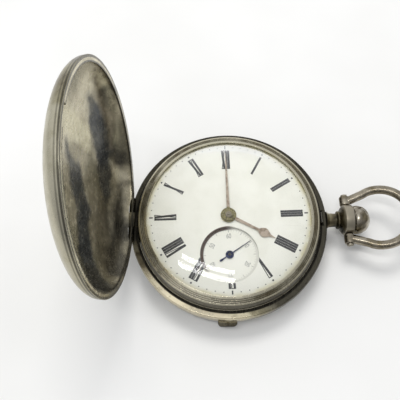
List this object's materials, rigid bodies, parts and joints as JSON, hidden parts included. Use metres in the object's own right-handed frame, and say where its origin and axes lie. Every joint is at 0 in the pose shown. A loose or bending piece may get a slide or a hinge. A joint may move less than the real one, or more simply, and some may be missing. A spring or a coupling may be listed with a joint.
{
  "type": "pocket watch",
  "caption": "Key-wound hunter pocket watch with a sprung front cover, hinged back and dust covers, swinging bow, push piece, enamel dial, sunk seconds dial and a geared lever movement.",
  "frame": {"origin": "centre of the flat on the back cover, on the watch's axis, where it rests on a table", "axes": "+X towards the pendant at 3 o'clock, +Y towards 12 o'clock, +Z out of the dial"},
  "size_m": [0.0801, 0.0521, 0.0575],
  "materials": {
    "case_silver": "tarnished silver, worn and lightly scratched",
    "cover_silver": "polished silver with brown and blue-grey tarnish",
    "dial_enamel": "white vitreous enamel, glossy",
    "hand_gold": "dull gold",
    "blued_steel": "polished blued steel",
    "polished_steel": "polished",
    "gilt_brass": "frosted gilt",
    "wheel_brass": "satin",
    "crystal_glass": "clear, polished",
    "ruby": "polished"
  },
  "bodies": {
    "case": {"case_middle": "case_silver", "pendant": "case_silver", "bow_screw_upper": "case_silver", "bow_screw_lower": "case_silver", "glass_bezel": "case_silver", "front_hinge_pin": "polished_steel", "back_hinge_pin": "polished_steel", "dust_hinge_pin": "polished_steel", "crystal": "crystal_glass", "dial": "dial_enamel", "seconds_dial": "dial_enamel", "fly_spring": "polished_steel", "lock_spring_screw": "blued_steel", "fly_spring_screw": "blued_steel", "main_plate": "gilt_brass", "barrel_bridge": "gilt_brass", "train_bridge": "gilt_brass", "pallet_cock": "gilt_brass", "balance_cock": "gilt_brass", "balance_endstone": "ruby", "barrel_bridge_screw_1": "blued_steel", "barrel_bridge_screw_2": "blued_steel", "train_bridge_screw_1": "blued_steel", "train_bridge_screw_2": "blued_steel", "balance_cock_screw": "blued_steel", "pallet_cock_screw": "blued_steel", "click_spring": "blued_steel", "hairspring": "blued_steel", "hairspring_stud": "polished_steel"},
    "front_cover": {"front_cover": "cover_silver"},
    "back_cover": {"back_cover": "case_silver"},
    "dust_cover": {"dust_cover": "cover_silver"},
    "bow": {"bow": "case_silver"},
    "push_piece": {"push_piece": "case_silver"},
    "lock_spring": {"lock_spring": "polished_steel"},
    "minute": {"minute_hand": "hand_gold", "cannon_pinion": "polished_steel", "setting_arbor": "polished_steel"},
    "hour": {"hour_hand": "hand_gold", "hour_wheel": "wheel_brass"},
    "minute_wheel": {"minute_wheel": "wheel_brass"},
    "centre_wheel": {"centre_wheel": "wheel_brass"},
    "third_wheel": {"third_wheel": "wheel_brass"},
    "fourth_wheel": {"fourth_wheel": "wheel_brass", "seconds_hand": "blued_steel"},
    "escape_wheel": {"escape_wheel": "polished_steel"},
    "barrel": {"barrel": "wheel_brass", "barrel_cover": "wheel_brass", "mainspring": "blued_steel"},
    "winding": {"barrel_arbor": "polished_steel", "ratchet_wheel": "polished_steel"},
    "click": {"click": "polished_steel"},
    "pallets": {"pallet_fork": "polished_steel"},
    "balance": {"balance_wheel": "gilt_brass"},
    "regulator": {"regulator": "polished_steel"}
  },
  "joints": [
    {"name": "front_cover_hinge", "type": "hinge", "parent": "case", "child": "front_cover", "pos_m": [-0.02445, 0, 0.0084], "axis": [0, -1, 0], "range_deg": [-95, 0], "stiffness_Nm_per_rad": 0.002, "springref_deg": 57.3},
    {"name": "back_cover_hinge", "type": "hinge", "parent": "case", "child": "back_cover", "pos_m": [0, 0.0253, 0.0042], "axis": [1, 0, 0], "range_deg": [0, 100]},
    {"name": "dust_cover_hinge", "type": "hinge", "parent": "case", "child": "dust_cover", "pos_m": [0, 0.0233, 0.00435], "axis": [1, 0, 0], "range_deg": [0, 90]},
    {"name": "bow_swing", "type": "hinge", "parent": "case", "child": "bow", "pos_m": [0.0305, 0, 0.0061], "axis": [0, 1, 0], "range_deg": [-76, 104]},
    {"name": "push_piece_press", "type": "slide", "parent": "case", "child": "push_piece", "axis": [-1, 0, 0], "range_m": [0, 0.0005], "stiffness_N_per_m": 1500, "springref_m": -0.0003},
    {"name": "lock_spring_flex", "type": "hinge", "parent": "case", "child": "lock_spring", "pos_m": [0.01084, 0.0204, 0.006], "axis": [0, 0, 1], "range_deg": [-0.75, 0]},
    {"name": "hand_setting", "type": "hinge", "parent": "case", "child": "minute", "pos_m": [0, 0, 0.0115], "axis": [0, 0, -1], "continuous": true},
    {"name": "hour_turn", "type": "hinge", "parent": "case", "child": "hour", "pos_m": [0, 0, 0.011], "axis": [0, 0, -1], "continuous": true},
    {"name": "minute_wheel_turn", "type": "hinge", "parent": "case", "child": "minute_wheel", "pos_m": [0.0024, 0.00416, 0.009], "axis": [0, 0, -1], "continuous": true},
    {"name": "seconds_run", "type": "hinge", "parent": "case", "child": "fourth_wheel", "pos_m": [0, -0.01, 0.0053], "axis": [0, 0, -1], "continuous": true},
    {"name": "third_wheel_turn", "type": "hinge", "parent": "case", "child": "third_wheel", "pos_m": [0.00437, -0.00572, 0.0045], "axis": [0, 0, -1], "continuous": true},
    {"name": "centre_wheel_turn", "type": "hinge", "parent": "case", "child": "centre_wheel", "pos_m": [0, 0, 0.0062], "axis": [0, 0, -1], "continuous": true},
    {"name": "barrel_turn", "type": "hinge", "parent": "case", "child": "barrel", "pos_m": [-0.00696, 0.00696, 0.005], "axis": [0, 0, -1], "continuous": true},
    {"name": "escape_wheel_turn", "type": "hinge", "parent": "case", "child": "escape_wheel", "pos_m": [-0.00507, -0.01185, 0.0059], "axis": [0, 0, -1], "continuous": true},
    {"name": "winding_turn", "type": "hinge", "parent": "case", "child": "winding", "pos_m": [-0.00696, 0.00696, 0.0026], "axis": [0, 0, 1], "range_deg": [0, 1980]},
    {"name": "click_lift", "type": "hinge", "parent": "case", "child": "click", "pos_m": [-0.00602, 0.01228, 0.0026], "axis": [0, 0, 1], "range_deg": [0, 8], "stiffness_Nm_per_rad": 0.00002, "springref_deg": -5.73},
    {"name": "pallet_rock", "type": "hinge", "parent": "case", "child": "pallets", "pos_m": [-0.00828, -0.01, 0.0059], "axis": [0, 0, -1], "range_deg": [-4, 4]},
    {"name": "balance_swing", "type": "hinge", "parent": "case", "child": "balance", "pos_m": [-0.01211, -0.00779, 0.0045], "axis": [0, 0, -1], "range_deg": [-220, 220], "stiffness_Nm_per_rad": 0.000003},
    {"name": "regulator_turn", "type": "hinge", "parent": "case", "child": "regulator", "pos_m": [-0.01211, -0.00779, 0.0027], "axis": [0, 0, -1], "range_deg": [-20, 20]}
  ],
  "couplings": [
    {"joint": "dust_cover_hinge", "follows": "back_cover_hinge", "ratio": 0.9},
    {"joint": "lock_spring_flex", "follows": "push_piece_press", "rad_per_m": -24.4},
    {"joint": "hour_turn", "follows": "hand_setting", "ratio": 0.083333},
    {"joint": "minute_wheel_turn", "follows": "hand_setting", "ratio": -0.33333},
    {"joint": "third_wheel_turn", "follows": "seconds_run", "ratio": -0.13333},
    {"joint": "centre_wheel_turn", "follows": "seconds_run", "ratio": 0.016667},
    {"joint": "barrel_turn", "follows": "seconds_run", "ratio": -0.0023148},
    {"joint": "escape_wheel_turn", "follows": "seconds_run", "ratio": -8}
  ]
}
